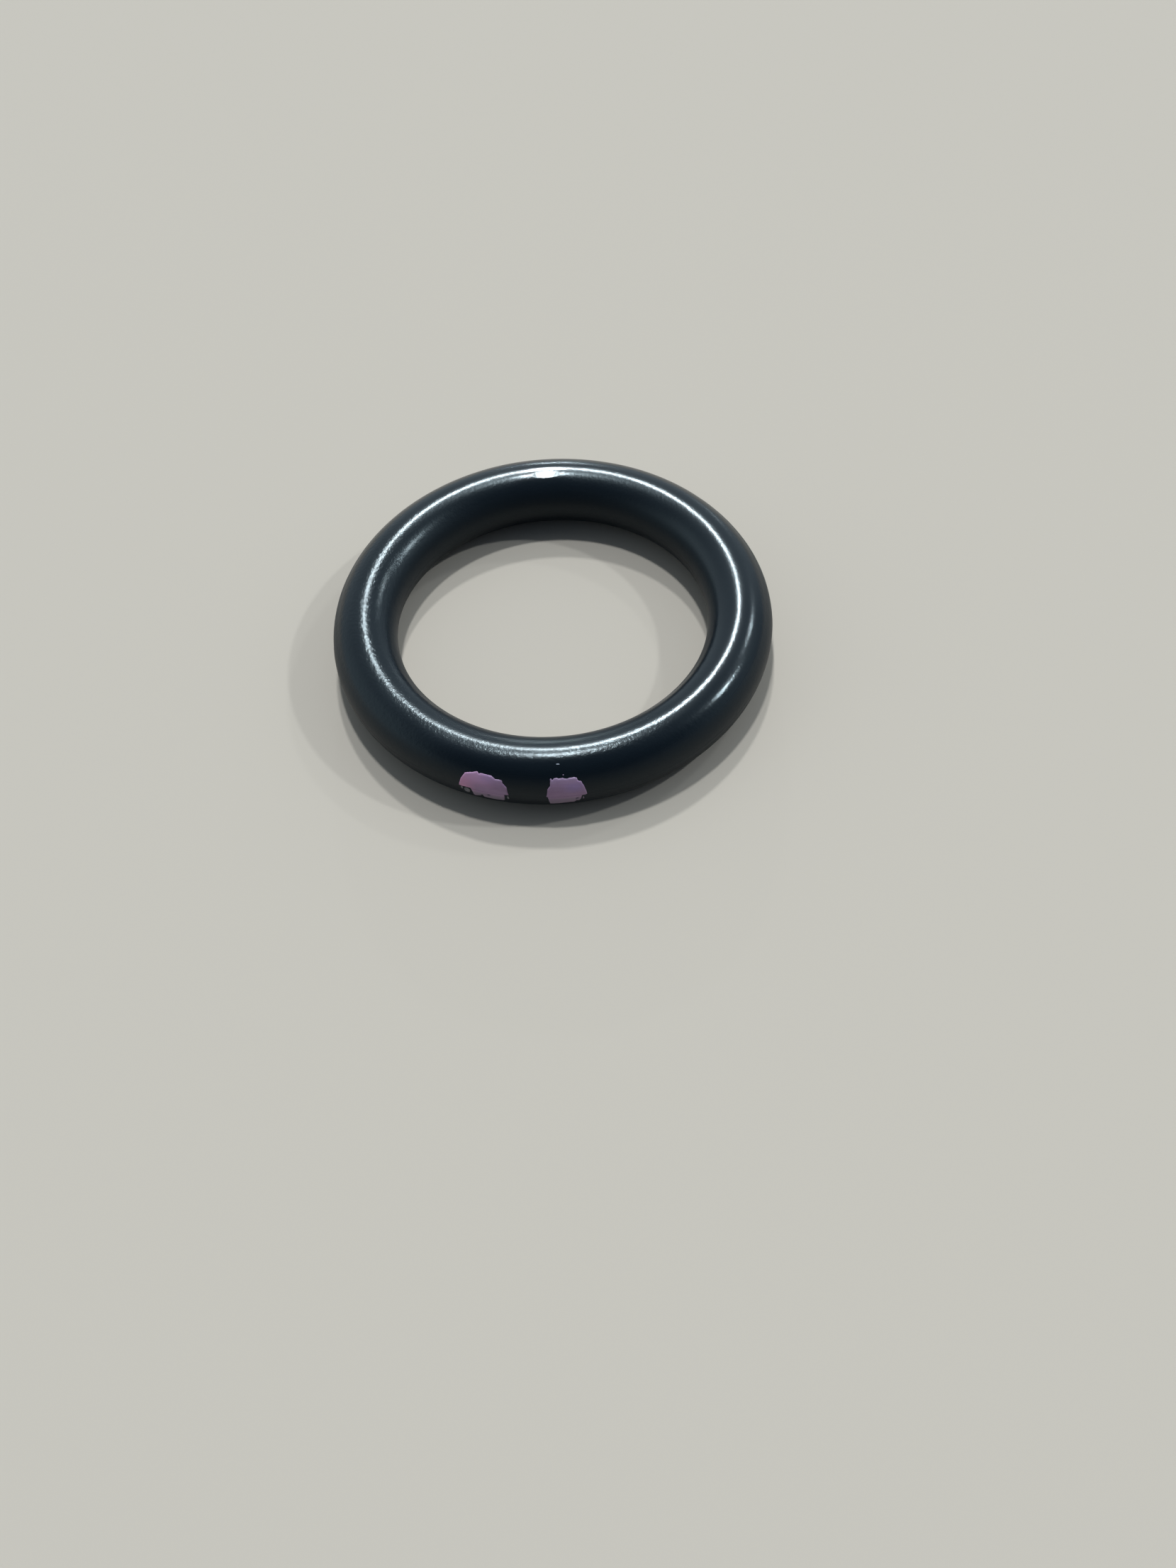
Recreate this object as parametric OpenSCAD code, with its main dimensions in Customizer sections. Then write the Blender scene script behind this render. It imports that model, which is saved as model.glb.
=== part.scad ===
// A moulded rubber o-ring lying flat, with two dabs of colour-code paint on its outside.
// The origin is on the surface that it lies on, under the middle of the hole. +Z is the ring's axis.
// The paint is on the front, towards -Y. Sizes are in millimetres.

/* [Ring] */
// Diameter of the hole, measured on the round rubber
bore_d = 17.04; // [14:0.01:30]
// Thickness of the round section
section_d = 3.53; // [3:0.01:5]

/* [Mould line] */
// Width of the line where the two halves of the mould met
line_w = 0.12; // [0.08:0.01:0.25]
// How far the line stands out of the rubber, outside and in the hole
line_h = 0.04; // [0.02:0.005:0.08]

/* [Paint] */
// Thickness of the dried paint film
paint_t = 0.04; // [0.03:0.005:0.08]

/* [Left paint mark] */
// Turn of the mark round the ring from the front, towards the left
left_turn = 20.3; // [15:0.1:60]
// Width of the mark above the mould line
left_w = 2.7; // [1.2:0.05:3.5]
// Width of what is left of it below the mould line
left_low_w = 1.85; // [0.8:0.05:2.5]
// How far the lower part lies to the right of the upper one
left_low_shift = 0.25; // [-0.4:0.05:0.4]
// Height of the mark above the mould line
left_rise = 1.1; // [0.5:0.05:1.3]
// How far the mark goes below the mould line
left_drop = 0.55; // [0.2:0.05:0.8]
// Radius of the round stroke that ends the mark at the top
left_crown_r = 2; // [1.8:0.1:6]
// Radius of the flaked notch in the mark's lower edge
left_notch_r = 0.16; // [0.05:0.01:0.18]

/* [Right paint mark] */
// Turn of the mark round the ring from the front, towards the right
right_turn = 0.7; // [-3:0.1:60]
// Width of the mark above the mould line
right_w = 2.05; // [1.2:0.05:3.5]
// Width of what is left of it below the mould line
right_low_w = 1.65; // [0.8:0.05:2.5]
// How far the lower part lies to the right of the upper one
right_low_shift = -0.15; // [-0.4:0.05:0.4]
// Height of the mark above the mould line
right_rise = 1.12; // [0.5:0.05:1.3]
// How far the mark goes below the mould line
right_drop = 0.65; // [0.2:0.05:0.8]
// Radius of the round stroke that ends the mark at the top
right_crown_r = 2.4; // [1.8:0.1:6]
// Radius of the flaked notch in the mark's lower edge
right_notch_r = 0.1; // [0.05:0.01:0.18]

/* [Hidden] */
$fn = 120;
// Radius of the circle that the section's centre runs along
centre_r = (bore_d + section_d)/2;
// How far the tool shapes reach past the surfaces that they cut
past = 0.5;

// The section: a round of diameter d with the mould line's land standing h out on both sides
module section(d, h, w) {
    circle(d = d);
    square([d + 2*h, w], center = true);
}

// A ring with that section, lying on the surface
module hoop(d, h, w)
    rotate_extrude()
        translate([centre_r, section_d/2])
            section(d, h, w);

module ring()
    color([0.07, 0.075, 0.09])
        hoop(section_d, line_h, line_w);

// Outline of a dab of paint, seen from outside the ring, with its origin on the mould line.
// The brush left a round top. Below the mould line the paint has flaked at the ends and in one notch.
module dab_outline(w, low_w, low_shift, rise, drop, crown_r, notch_r) {
    intersection() {
        translate([-w/2, 0])
            square([w, rise]);
        translate([0, rise - crown_r])
            circle(r = crown_r);
    }
    difference() {
        translate([low_shift - low_w/2, -drop])
            square([low_w, drop + line_w/2]);
        translate([low_shift - low_w/6, -drop])
            circle(r = notch_r);
    }
}

// Paint of even thickness over the rubber and over its mould line, cut to the children's outline
module paint_film(turn)
    color([0.72, 0.58, 0.68])
        difference() {
            intersection() {
                hoop(section_d + 2*paint_t, line_h, line_w + 2*paint_t);
                rotate([0, 0, turn])
                    translate([0, -centre_r, section_d/2])
                        rotate([90, 0, 0])
                            linear_extrude(section_d/2 + line_h + paint_t + past)
                                children();
            }
            hoop(section_d, line_h, line_w);
        }

module left_paint_mark()
    paint_film(-left_turn)
        dab_outline(left_w, left_low_w, left_low_shift, left_rise, left_drop,
                    left_crown_r, left_notch_r);

module right_paint_mark()
    paint_film(right_turn)
        dab_outline(right_w, right_low_w, right_low_shift, right_rise, right_drop,
                    right_crown_r, right_notch_r);

ring();
left_paint_mark();
right_paint_mark();
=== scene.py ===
# A moulded rubber o-ring, lying flat, with two dabs of colour-code paint on its outside.
# Lengths are in metres, or in millimetres where a name ends in _mm. Angles are in degrees.
# The ring's axis is +Z, and the paint is on the front, towards -Y.
import bpy
import math
import numpy as np
from mathutils import Matrix, Vector, noise
from mathutils.geometry import delaunay_2d_cdt


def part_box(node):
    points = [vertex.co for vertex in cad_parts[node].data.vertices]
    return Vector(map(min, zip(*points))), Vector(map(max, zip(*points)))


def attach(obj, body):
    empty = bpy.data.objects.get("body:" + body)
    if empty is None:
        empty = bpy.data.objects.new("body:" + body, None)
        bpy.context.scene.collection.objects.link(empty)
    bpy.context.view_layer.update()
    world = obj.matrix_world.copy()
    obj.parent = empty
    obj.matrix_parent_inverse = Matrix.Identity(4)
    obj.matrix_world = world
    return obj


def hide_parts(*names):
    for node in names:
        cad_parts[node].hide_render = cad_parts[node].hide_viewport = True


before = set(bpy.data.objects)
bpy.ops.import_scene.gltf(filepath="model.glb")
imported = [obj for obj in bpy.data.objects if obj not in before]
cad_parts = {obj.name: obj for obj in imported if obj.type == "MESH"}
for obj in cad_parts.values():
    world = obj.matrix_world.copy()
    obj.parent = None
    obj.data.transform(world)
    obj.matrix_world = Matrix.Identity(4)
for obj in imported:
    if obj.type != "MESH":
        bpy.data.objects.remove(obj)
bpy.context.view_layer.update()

# The ring.
# A solid loop of black nitrile rubber with a round section, pressed hot in a mould of two halves.
# The halves met at its widest and its narrowest circle, where a fine line of rubber was squeezed out.
MM = 0.001
ring_low, ring_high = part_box("ring")
section_r = (ring_high.z - ring_low.z) / 2
line_h = 0.04 * MM
line_seen_h = 0.012 * MM
centre_r = ring_high.x - line_h - section_r
outside_r = centre_r + section_r
half_girth_mm = math.pi * section_r / MM


def ease(start, end, value):
    """0 before start, 1 after end, and a smooth climb between them."""
    share = min(1.0, max(0.0, (value - start) / (end - start)))
    return share * share * (3 - 2 * share)


def mould_line(turn, tilt):
    """How far the mould line stands out, in metres. It is higher where more rubber was squeezed out."""
    side = 0.0 if math.cos(tilt) > 0 else math.pi
    away_mm = abs(math.remainder(tilt - side, 2 * math.pi)) * section_r / MM
    if away_mm > 0.2:
        return 0.0
    squeeze = 0.6 + 0.5 * noise.noise(Vector((6 * math.sin(turn), 6 * math.cos(turn), side)))
    return line_seen_h * squeeze * (1 - ease(0.02, 0.13, away_mm))


# Two shallow flats side by side on the crown at the back. Each has its middle and half its width and length.
flat_turn = math.radians(178.5)
flats = [(math.radians(93.2), 0.135, 1.2), (math.radians(104.6), 0.25, 0.85)]


def swell(turn, tilt):
    """The rubber's slight unevenness, in metres, which makes the highlights wander. It fades out below."""
    spot = Vector((
        centre_r * math.sin(turn) / MM,
        centre_r * math.cos(turn) / MM,
        section_r * tilt / MM,
    ))
    wide = noise.noise(spot / 4.5) * 0.012
    fine = noise.noise(spot / 1.3 + Vector((40, 0, 0))) * 0.0016
    along_mm = math.remainder(turn - flat_turn, 2 * math.pi) * centre_r / MM
    dip = 0
    for middle, wide_mm, long_mm in flats:
        across_mm = (tilt - middle) * section_r / MM
        inside = wide_mm ** 2 * (1 - (along_mm / long_mm) ** 2) - across_mm ** 2
        dip = max(dip, inside / 2 / (section_r / MM))
    return (wide + fine - dip) * MM * ease(-1.4, -0.6, math.sin(tilt) * 1.2)


def on_ring(turn, tilt, lift=0.0):
    """A point at a turn round the ring from the front and a tilt round its section from the outside."""
    out = section_r + lift + mould_line(turn, tilt) + swell(turn, tilt)
    reach = centre_r + out * math.cos(tilt)
    return (reach * math.sin(turn), -reach * math.cos(turn), section_r + out * math.sin(tilt))


# Rows of points round the section, in millimetres from the outermost circle, closest on the crown
line_rows_mm = (-0.16, -0.12, -0.095, -0.07, -0.05, -0.025, 0, 0.025, 0.05, 0.07, 0.095, 0.12, 0.16)
crown_mm = (2.6, 3.6)
rows_mm = [*line_rows_mm, *np.linspace(0.22, crown_mm[0], 32, False), *np.linspace(*crown_mm, 30, False)]
rows_mm += [*np.linspace(crown_mm[1], half_girth_mm - 0.22, 24)]
rows_mm += [row + half_girth_mm for row in (*line_rows_mm, *np.linspace(0.25, half_girth_mm - 0.25, 36))]
around = 620
points = []
faces = []
for step in range(around):
    turn = 2 * math.pi * step / around
    points += [on_ring(turn, row * MM / section_r) for row in rows_mm]
    here = step * len(rows_mm)
    there = (step + 1) % around * len(rows_mm)
    for row in range(len(rows_mm)):
        above = (row + 1) % len(rows_mm)
        faces.append((here + row, there + row, there + above, here + above))


def piece(name, points, faces, material):
    """A smooth mesh object of these points and faces."""
    mesh = bpy.data.meshes.new(name)
    mesh.from_pydata(points, [], faces)
    mesh.validate()
    mesh.shade_smooth()
    mesh.materials.append(material)
    made = bpy.data.objects.new(name, mesh)
    bpy.context.scene.collection.objects.link(made)
    return made


class Wire:
    """The output of a shader node. Sums and products of wires and numbers add their own Math nodes."""

    def __init__(self, tree, socket=None):
        self.tree = tree
        self.socket = socket

    def node(self, kind, settings, values, out=0):
        """Adds a node, sets it up, then fills its sockets, named or numbered, with values or wires."""
        made = self.tree.nodes.new(kind)
        for name, value in settings.items():
            setattr(made, name, value)
        for name, value in values.items():
            if isinstance(name, int):
                socket = made.inputs[name]
            else:
                socket = next(s for s in made.inputs if s.enabled and s.name == name)
            if isinstance(value, Wire):
                self.tree.links.new(value.socket, socket)
            else:
                socket.default_value = value
        shown = [s for s in made.outputs if s.enabled]
        return Wire(self.tree, shown[out] if isinstance(out, int) else made.outputs[out])

    def math(self, operation, *values):
        return self.node("ShaderNodeMath", {"operation": operation}, dict(enumerate(values)))

    def __add__(self, other):
        return self.math("ADD", self, other)

    def __radd__(self, other):
        return self.math("ADD", other, self)

    def __sub__(self, other):
        return self.math("SUBTRACT", self, other)

    def __rsub__(self, other):
        return self.math("SUBTRACT", other, self)

    def __mul__(self, other):
        return self.math("MULTIPLY", self, other)

    def __rmul__(self, other):
        return self.math("MULTIPLY", other, self)

    def climb(self, start, end):
        """0 where this is below start, 1 above end, and smooth between. start may be the higher one."""
        settings = {"interpolation_type": "SMOOTHSTEP"}
        return self.node("ShaderNodeMapRange", settings, {"Value": self, "From Min": start, "From Max": end})

    def mix(self, colour, other):
        """One colour where this is 0 and the other where it is 1."""
        return self.node("ShaderNodeMix", {"data_type": "RGBA"}, {"Factor": self, "A": colour, "B": other})

    def cloud(self, size_mm, detail=2.0, rough=0.5):
        """Soft noise from 0 to 1 with blots of about this size, where this is a place in millimetres."""
        values = {"Vector": self, "Scale": 1 / size_mm, "Detail": detail, "Roughness": rough}
        return self.node("ShaderNodeTexNoise", {}, values)


def shader(name):
    """A new material with an empty Principled shader: the material, its shader and a wire to build from."""
    material = bpy.data.materials.new(name)
    material.use_nodes = True
    return material, material.node_tree.nodes["Principled BSDF"], Wire(material.node_tree)


def place_mm(start):
    """Where a point of a material lies, in millimetres."""
    spot = start.node("ShaderNodeTexCoord", {}, {}, "Object")
    return start.node("ShaderNodeVectorMath", {"operation": "SCALE"}, {"Vector": spot, "Scale": 1 / MM})


def ring_place_mm(spot):
    """Millimetres round the outside from the front, and round the section from the outermost circle."""
    x = spot.node("ShaderNodeSeparateXYZ", {}, {"Vector": spot}, "X")
    y = spot.node("ShaderNodeSeparateXYZ", {}, {"Vector": spot}, "Y")
    z = spot.node("ShaderNodeSeparateXYZ", {}, {"Vector": spot}, "Z")
    reach = spot.math("SQRT", x * x + y * y) - centre_r / MM
    round_mm = spot.math("ARCTAN2", x, 0 - y) * (outside_r / MM)
    up_mm = spot.math("ARCTAN2", z - section_r / MM, reach) * (section_r / MM)
    return round_mm, up_mm


rubber, rubber_shader, start = shader("moulded_rubber")
spot = place_mm(start)
round_mm, up_mm = ring_place_mm(spot)
blots = spot.cloud(2.6, 3.0)
grain = spot.cloud(0.18, 2.5, 0.55)
pebble = spot.cloud(0.7, 1.0)
# The crown is more grained round the front, and duller to the left of it, where the rubber was handled
crown = up_mm.climb(1.8, 2.3) * up_mm.climb(3.0, 2.6)
upper = up_mm.climb(0.9, 1.5) * up_mm.climb(4.6, 3.9)
polished = up_mm.climb(1.4, 2.1) * up_mm.climb(4.5, 4.0)
left_side = upper * round_mm.climb(-30, -24) * round_mm.climb(-7, -12)
right_side = upper * round_mm.climb(4, 9) * round_mm.climb(19, 15)
front_lip = up_mm.climb(2.95, 3.25) * up_mm.climb(4.5, 4.0)
front_lip = front_lip * round_mm.climb(-11, -6) * round_mm.climb(9, 5)
far_round_mm = spot.math("ABSOLUTE", round_mm)
hot = up_mm.climb(2.6, 2.8) * up_mm.climb(3.6, 3.4) * far_round_mm.climb(35.5, 37)
back_lip = up_mm.climb(2.9, 3.15) * up_mm.climb(4.5, 4.0)
back_lip = back_lip * far_round_mm.climb(24, 30) * far_round_mm.climb(37, 35)
grained = crown * round_mm.climb(-13, -8) * round_mm.climb(9, 5)
handled = crown * round_mm.climb(-9.5, -7.0) * round_mm.climb(-1.5, -3.5)
black = blots.mix((0.0037, 0.0062, 0.0093, 1), (0.0050, 0.0081, 0.0118, 1))
rubber_colour = (handled * 0.4).mix(black, (0.012, 0.016, 0.021, 1))
sides = left_side * 0.01 - right_side * 0.04
lips = up_mm.climb(3.3, 3.8) * upper * 0.03 + front_lip * 0.1 + back_lip * 0.08
rubber_rough = 0.44 - upper * 0.26 + blots * 0.05 + handled * 0.03 + sides + lips - hot * 0.04
height = grain * (0.5 + blots * 0.3 + grained * 0.55 + left_side * 0.8 + hot * 0.4) + pebble * 0.4
rubber_bump = start.node("ShaderNodeBump", {}, {"Height": height, "Distance": 0.000014, "Strength": 1.0})
bloom = polished * (0.2 + blots * 0.12 - left_side * 0.12 + hot * 0.4 - grained * 0.07)
bloom = bloom * (1 - front_lip) * (1 - back_lip * 0.7)
start.tree.links.new(rubber_colour.socket, rubber_shader.inputs["Base Color"])
start.tree.links.new(rubber_rough.socket, rubber_shader.inputs["Roughness"])
start.tree.links.new(rubber_bump.socket, rubber_shader.inputs["Normal"])
start.tree.links.new(bloom.socket, rubber_shader.inputs["Coat Weight"])
rubber_shader.inputs["Coat Roughness"].default_value = 0.22
rubber_shader.inputs["IOR"].default_value = 1.335
rubber_shader.inputs["Specular Tint"].default_value = (0.84, 0.96, 1, 1)

ring = piece("moulded_ring", points, faces, rubber)
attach(ring, "root")
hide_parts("ring")

# The paint marks.
# Two dabs of pink marking paint that tell this rubber's grade, brushed on over the mould line.
# The film has dried thin. It ends in brush ticks at the top, and has flaked below the line.
film_t = 0.03 * MM
buried_t = 0.006 * MM
film_step_mm = 0.055


def brushed_edge(outline, seed, fray_mm):
    """An outline in millimetres with its straights cut short and frayed a little."""
    edge = []
    for here, there in zip(outline, [*outline[1:], outline[0]]):
        run = Vector(there) - Vector(here)
        pieces = max(1, round(run.length / 0.04))
        for step in range(pieces):
            spot = Vector(here) + run * step / pieces
            shake = noise.noise_vector(Vector((spot.x * 9, spot.y * 9, seed)))
            edge.append((spot.x + shake.x * fray_mm, spot.y + shake.y * fray_mm))
    return edge


def edge_distance(spots, loops):
    """How far each point lies from the nearest edge, and whether it is inside an odd number of loops."""
    nearest = np.full(len(spots), 1e9)
    inside = np.zeros(len(spots), bool)
    for loop in loops:
        a = np.array(loop)
        b = np.roll(a, -1, axis=0)
        for (ax, ay), (bx, by) in zip(a, b):
            run = np.array((bx - ax, by - ay))
            from_a = spots - (ax, ay)
            share = np.clip(from_a @ run / (run @ run), 0, 1)
            nearest = np.minimum(nearest, np.hypot(*(from_a - share[:, None] * run).T))
            if ay != by:
                crosses = (ay > spots[:, 1]) != (by > spots[:, 1])
                inside ^= crosses & (spots[:, 0] < ax + (spots[:, 1] - ay) * (bx - ax) / (by - ay))
    return nearest, inside


def paint_film(outline, chips, specks, seed):
    """Points and faces of a closed film of paint on the ring, with its chips left open."""
    loops = [brushed_edge(outline, seed, 0.012)]
    for x, y, wide, high in [*chips, *specks]:
        turns = np.arange(0, 6.28, 0.52)
        corners = [(x + wide / 2 * math.cos(a), y + high / 2 * math.sin(a)) for a in turns]
        loops.append(brushed_edge(corners, seed + 5, 0.01))
    corners = np.concatenate([np.array(loop) for loop in loops])
    low, high = corners.min(axis=0), corners.max(axis=0)
    grid = [
        (x + (row % 2) * film_step_mm / 2, y)
        for row, y in enumerate(np.arange(low[1], high[1], film_step_mm * 0.87))
        for x in np.arange(low[0], high[0], film_step_mm)
    ]
    nearest, inside = edge_distance(np.array(grid), loops)
    spots = [Vector(c) for loop in loops for c in loop]
    edges = []
    first = 0
    for loop in loops:
        edges += [(first + k, first + (k + 1) % len(loop)) for k in range(len(loop))]
        first += len(loop)
    clear_mm = film_step_mm * 0.4
    spots += [Vector(c) for c, far, within in zip(grid, nearest, inside) if within and far > clear_mm]
    flat, _, tris, _, _, _ = delaunay_2d_cdt(spots, edges, [], 0, 1e-6)
    flat = np.array([tuple(c) for c in flat])
    centres = np.array([flat[list(t)].mean(axis=0) for t in tris])
    kept = edge_distance(centres, loops)[1]
    tris = [tuple(t) for t, keep in zip(tris, kept) if keep]
    nearest, _ = edge_distance(flat, loops)
    points = []
    for (x, y), far in zip(flat, nearest):
        body = 0.4 + 0.6 * ease(0, 0.08, far) + 0.15 * noise.noise(Vector((x * 2, y * 9, seed)))
        points.append(on_ring(x * MM / outside_r, y * MM / section_r, film_t * body))
    points += [on_ring(x * MM / outside_r, y * MM / section_r, -buried_t) for x, y in flat]
    under = len(flat)
    faces = list(tris) + [(c + under, b + under, a + under) for a, b, c in tris]
    sides = {(t[k], t[(k + 1) % 3]) for t in tris for k in range(3)}
    faces += [(b, a, a + under, b + under) for a, b in sides if (b, a) not in sides]
    return points, faces


paint, paint_shader, start = shader("marking_paint")
spot = place_mm(start)
round_mm, up_mm = ring_place_mm(spot)
streaks = start.node("ShaderNodeCombineXYZ", {}, {"X": round_mm * 0.35, "Y": up_mm * 3.5}).cloud(0.5, 3.0)
mottle = spot.cloud(0.5, 3.0)
fresh = round_mm.climb(-3.2, -4.6) * up_mm.climb(0.1, 0.8)
rosy = round_mm.climb(-4.5, -5.4) * up_mm.climb(1.1, 0.5)
# Painted shade: below the mould line the paint is darkened, in streaks, where its underside turns away from
# the light.
shade_below_line = up_mm.climb(0.05, -0.25) * (0.5 + streaks * 0.5)
right_violet = round_mm.climb(-0.3, 0.5) * round_mm.climb(1.2, 0.7)
right_violet = right_violet * up_mm.climb(0.2, 0.5) * up_mm.climb(1.0, 0.7)
left_violet = round_mm.climb(-4.7, -4.2) * round_mm.climb(-3.5, -4.0) * up_mm.climb(0.5, 0.9)
violet = right_violet * 0.55 + left_violet * 0.25
# Painted sheen: the marks are made paler and bluer along their top edge, where the light falls on them.
top_sheen = up_mm.climb(0.75, 1.15)
# Painted shade: a thin dark line along the mould line, where the bead would shade the paint.
line_seen = up_mm.climb(0.11, 0.07) * up_mm.climb(0.01, 0.05)
lilac = mottle.mix((0.26, 0.147, 0.26, 1), (0.36, 0.22, 0.352, 1))
lilac = (streaks.climb(0.45, 0.75) * 0.3).mix(lilac, (0.37, 0.265, 0.38, 1))
lilac = (top_sheen * 0.2).mix(lilac, (0.39, 0.30, 0.44, 1))
lilac = (fresh * 0.75).mix(lilac, (0.57, 0.30, 0.49, 1))
lilac = violet.mix(lilac, (0.31, 0.21, 0.44, 1))
lilac = (rosy * 0.85).mix(lilac, (0.59, 0.265, 0.425, 1))
lilac = shade_below_line.mix(lilac, (0.19, 0.15, 0.19, 1))
stained = round_mm.climb(-4.9, -5.0) + round_mm.climb(-3.06, -3.0) * round_mm.climb(-2.6, -2.7)
lilac = (stained * up_mm.climb(0.06, 0.0)).mix(lilac, (0.15, 0.14, 0.15, 1))
lilac = up_mm.climb(1.4, 1.7).mix(lilac, (0.29, 0.31, 0.36, 1))
lilac = (line_seen * 0.35).mix(lilac, (0.16, 0.10, 0.17, 1))
paint_rough = 0.5 + mottle * 0.15
paint_bump = start.node("ShaderNodeBump", {}, {"Height": streaks, "Distance": 0.000004, "Strength": 1.0})
start.tree.links.new(lilac.socket, paint_shader.inputs["Base Color"])
start.tree.links.new(paint_rough.socket, paint_shader.inputs["Roughness"])
start.tree.links.new(paint_bump.socket, paint_shader.inputs["Normal"])

# Outlines in millimetres: to the right of the front along the outside, and up from the mould line
left_outline = [
    (-5.62, 0.10), (-5.50, 0.62), (-5.30, 0.98), (-5.05, 1.06), (-4.70, 1.18), (-4.63, 1.20),
    (-4.54, 1.10), (-4.45, 1.15), (-3.85, 1.13), (-3.62, 0.98), (-3.40, 0.98), (-3.25, 0.95),
    (-3.22, 0.82), (-3.00, 0.60), (-2.90, 0.08), (-3.13, 0.06), (-3.12, -0.15), (-3.15, -0.45),
    (-3.25, -0.52), (-3.50, -0.56), (-4.15, -0.52), (-4.25, -0.55), (-4.32, -0.28), (-4.38, -0.27),
    (-4.44, -0.42), (-4.75, -0.56), (-4.85, -0.48), (-4.84, -0.35), (-4.94, 0.10), (-5.40, 0.08),
]
left_chips = [(-3.98, -0.18, 0.14, 0.07), (-5.22, -0.12, 0.08, 0.07)]
left_specks = [(-5.17, -0.18, 0.33, 0.42), (-5.46, -0.06, 0.12, 0.22), (-2.94, -0.16, 0.10, 0.28)]
right_outline = [
    (-0.92, 0.10), (-0.84, 0.60), (-0.70, 0.80), (-0.68, 1.18), (-0.63, 1.20), (-0.58, 1.10),
    (-0.48, 1.19), (-0.32, 1.22), (-0.25, 1.17), (0.00, 1.19), (0.08, 1.15), (0.25, 1.13),
    (0.35, 1.17), (0.60, 1.18), (0.74, 1.12), (0.76, 1.00), (0.84, 0.94), (0.94, 0.93),
    (1.06, 0.64), (1.15, 0.30), (1.18, 0.08), (1.10, 0.03), (0.90, 0.02), (0.88, -0.15),
    (0.82, -0.35), (0.74, -0.48), (0.60, -0.42), (0.50, -0.60), (0.10, -0.60), (-0.20, -0.64),
    (-0.76, -0.66), (-0.80, -0.40), (-0.85, 0.05),
]
right_chips = [(0.66, -0.20, 0.15, 0.06)]
right_specks = [(0.03, 1.35, 0.06, 0.05), (-0.22, 1.915, 0.20, 0.06), (0.98, -0.22, 0.06, 0.2)]

left_mark = piece("left_dab", *paint_film(left_outline, left_chips, left_specks, 1), paint)
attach(left_mark, "root")
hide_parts("left_paint_mark")
right_mark = piece("right_dab", *paint_film(right_outline, right_chips, right_specks, 2), paint)
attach(right_mark, "root")
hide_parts("right_paint_mark")

# The floor.
# A plain pale sheet under the ring, wide enough to reach past every view.
floor_r = 40.0
floor_paint, floor_shader, start = shader("pale_floor")
floor_shader.inputs["Base Color"].default_value = (0.475, 0.408, 0.347, 1)
floor_shader.inputs["Roughness"].default_value = 0.9
floor_shader.inputs["Specular IOR Level"].default_value = 0.2
edge_points = 96
turns = np.linspace(0, 2 * math.pi, edge_points, False)
floor_edge = [(floor_r * math.cos(a), floor_r * math.sin(a), 0) for a in turns]
floor = piece("pale_sheet", floor_edge, [tuple(range(edge_points))], floor_paint)

# The light.
# Two small bright lamps stand beyond the ring, one lower and one overhead, with weak ones to the right.
# A dim sky fills in, brighter to the sides. It is darkest behind the camera, so the near side stays black.
lamp_far = 12.0


def lamp(name, azimuth, elevation, across, along, level, colour):
    """An area lamp seen from the ring at these angles and this size, all in degrees.
    Azimuth 0 is straight beyond the ring, and right of it is more. Level is the light on what faces it,
    where pi would render a white surface as white."""
    light = bpy.data.lights.new(name, "AREA")
    light.shape = "ELLIPSE"
    light.size = 2 * lamp_far * math.tan(math.radians(across / 2))
    light.size_y = 2 * lamp_far * math.tan(math.radians(along / 2))
    light.energy = level * math.pi * lamp_far ** 2
    light.color = colour
    made = bpy.data.objects.new(name, light)
    turn = Matrix.Rotation(math.radians(-azimuth), 4, "Z")
    dip = Matrix.Rotation(math.radians(elevation - 90), 4, "X")
    made.matrix_world = turn @ dip @ Matrix.Translation((0, 0, lamp_far))
    made.visible_camera = False
    bpy.context.scene.collection.objects.link(made)


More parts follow.
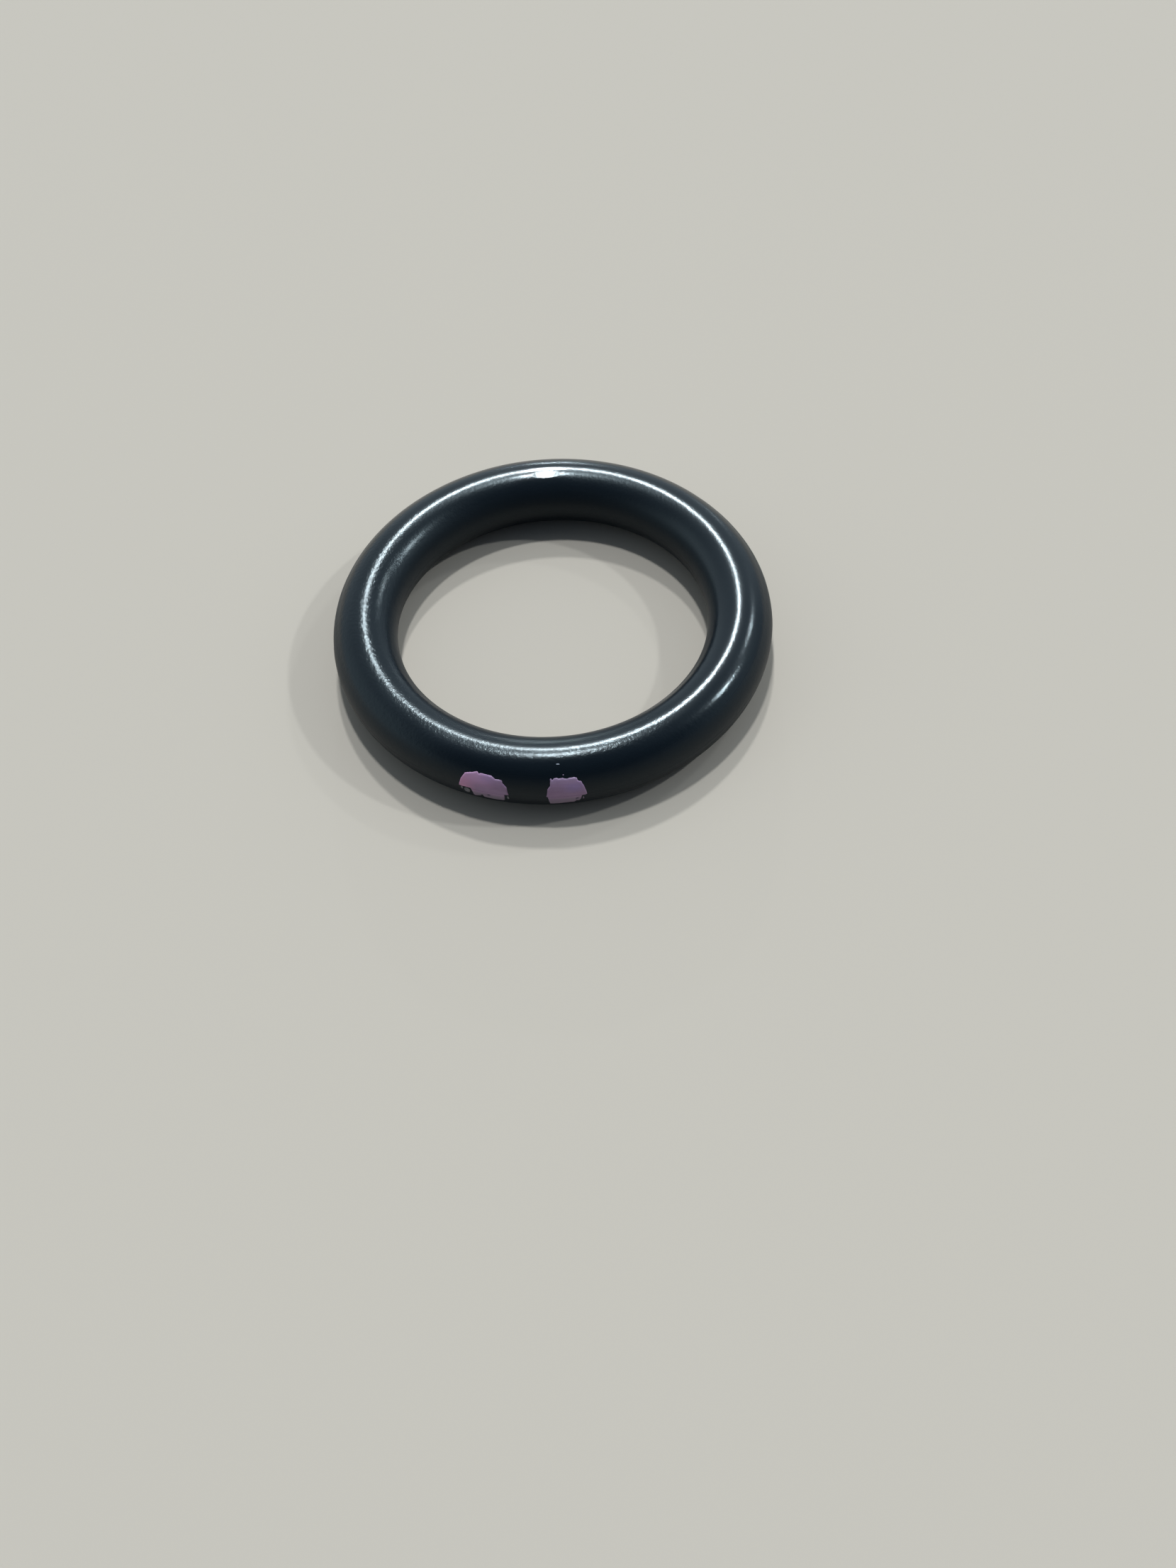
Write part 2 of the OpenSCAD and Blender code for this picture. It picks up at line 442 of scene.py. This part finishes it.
white = (0.9, 1.0, 1.05)
cool = (0.87, 1.0, 1.06)
lamp("lower_lamp", 2, 50.5, 3.5, 3.5, 1.35, white)
lamp("overhead_lamp", -2.9, 73, 4.5, 4.5, 1.45, white)
lamp("right_lamp", 80.5, 42, 4, 2.5, 0.76, cool)
lamp("far_right_lamp", 52, 36, 5.5, 2, 0.28, cool)
lamp("beyond_right_lamp", 24, 10, 4, 2.5, 0.012, cool)
lamp("beyond_lamp", 1, 13.5, 3, 1, 0.14, cool)

sky = bpy.data.worlds.new("studio")
bpy.context.scene.world = sky
sky.use_nodes = True
start = Wire(sky.node_tree)
way = start.node("ShaderNodeTexCoord", {}, {}, "Generated")


def near_heading(azimuth, elevation, start_deg, end_deg):
    """0 for directions start_deg or more from this one, and 1 for those within end_deg of it."""
    a = math.radians(azimuth)
    e = math.radians(elevation)
    heading = (math.cos(e) * math.sin(a), math.cos(e) * math.cos(a), math.sin(e))
    along = way.node("ShaderNodeVectorMath", {"operation": "DOT_PRODUCT"}, {0: way, 1: heading}, "Value")
    return along.climb(math.cos(math.radians(start_deg)), math.cos(math.radians(end_deg)))


haze = near_heading(0, 15, 75, 18).mix((0.31, 0.375, 0.425, 1), (0.56, 0.67, 0.74, 1))
haze = near_heading(-90, 10, 48, 8).mix(haze, (0.75, 0.92, 1.0, 1))
haze = near_heading(88, 34, 38, 8).mix(haze, (0.60, 0.72, 0.80, 1))
haze = near_heading(180, 45, 72, 32).mix(haze, (0.06, 0.085, 0.118, 1))
seen = start.node("ShaderNodeLightPath", {}, {}, "Is Camera Ray").mix(haze, (0.535, 0.533, 0.497, 1))
start.tree.links.new(seen.socket, sky.node_tree.nodes["Background"].inputs["Color"])

# The camera.
# It stands where the photograph was taken from, a hand's breadth from the ring, and looks down on it.
camera = bpy.data.cameras.new("camera")
camera.sensor_width = 36
camera.lens = 49.07
camera.clip_start = 0.005
eye = bpy.data.objects.new("camera", camera)
eye_spot = (0.00126, -0.07859, 0.08957)
eye_dip = 52.55
eye_roll = -4.48
eye.matrix_world = (
    Matrix.Translation(eye_spot)
    @ Matrix.Rotation(math.radians(90 - eye_dip), 4, "X")
    @ Matrix.Rotation(math.radians(eye_roll), 4, "Z")
)
bpy.context.scene.collection.objects.link(eye)
bpy.context.scene.camera = eye
bpy.context.scene.view_settings.view_transform = "Standard"
